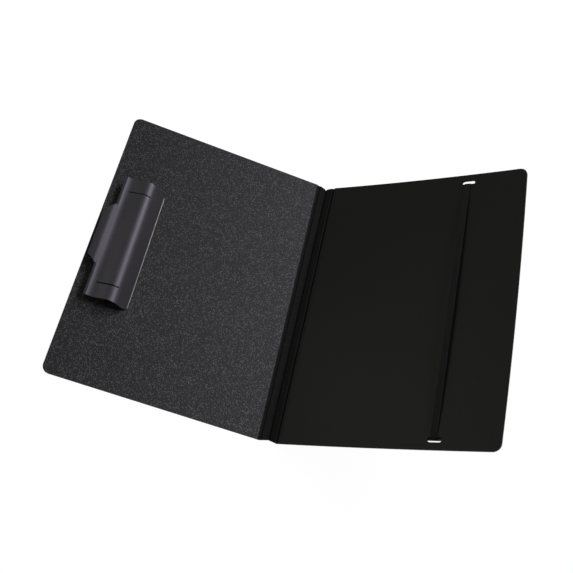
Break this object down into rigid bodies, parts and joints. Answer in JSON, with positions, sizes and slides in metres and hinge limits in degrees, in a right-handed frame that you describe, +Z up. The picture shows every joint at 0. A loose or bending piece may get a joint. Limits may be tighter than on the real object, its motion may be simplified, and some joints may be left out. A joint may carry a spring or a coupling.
{
  "type": "clipboard folder",
  "caption": "Landscape folder of creased sheet: a board with a sprung steel clip, a two-strip spine and a hinged cover with an elastic band.",
  "frame": {"origin": "centre of the board's underside, where it rests", "axes": "+X across the folder from the clip to the cover, +Y along the creases, +Z up"},
  "size_m": [0.3985, 0.31, 0.1539],
  "materials": {
    "grained_sheet": "fine pebble grain with a slight sparkle, charcoal",
    "smooth_sheet": "smooth satin near-black",
    "elastic": "lengthwise ribbed black elastic",
    "cleat_plastic": "moulded black",
    "dark_steel": "satin black coating",
    "clip_enamel": "satin black enamel",
    "bright_steel": "drawn wire"
  },
  "bodies": {
    "board": {"back_board": "grained_sheet", "clip_base": "dark_steel", "pivot_rod": "bright_steel", "clip_rivets": "dark_steel", "upper_clip_spring": "bright_steel", "lower_clip_spring": "bright_steel"},
    "lever": {"clip_lever": "clip_enamel"},
    "strip_1": {"spine_strip_1": "smooth_sheet"},
    "strip_2": {"spine_strip_2": "smooth_sheet"},
    "cover": {"cover_panel": "smooth_sheet", "elastic_band": "elastic", "upper_band_cleat": "cleat_plastic", "lower_band_cleat": "cleat_plastic"}
  },
  "joints": [
    {"name": "clip_pivot", "type": "hinge", "parent": "board", "child": "lever", "pos_m": [-0.0845, 0, 0.0076], "axis": [0, -1, 0], "range_deg": [0, 15], "stiffness_Nm_per_rad": 1.2, "springref_deg": -20.05, "deforming": ["upper_clip_spring", "lower_clip_spring"]},
    {"name": "crease_1", "type": "hinge", "parent": "board", "child": "strip_1", "pos_m": [0.1085, 0, 0.0003], "axis": [0, -1, 0], "range_deg": [0, 75]},
    {"name": "crease_2", "type": "hinge", "parent": "strip_1", "child": "strip_2", "pos_m": [0.1175, 0, 0.0003], "axis": [0, -1, 0], "range_deg": [-30, 0]},
    {"name": "crease_3", "type": "hinge", "parent": "strip_2", "child": "cover", "pos_m": [0.12529, 0, 0.0048], "axis": [0, -1, 0], "range_deg": [-13, 62]}
  ]
}
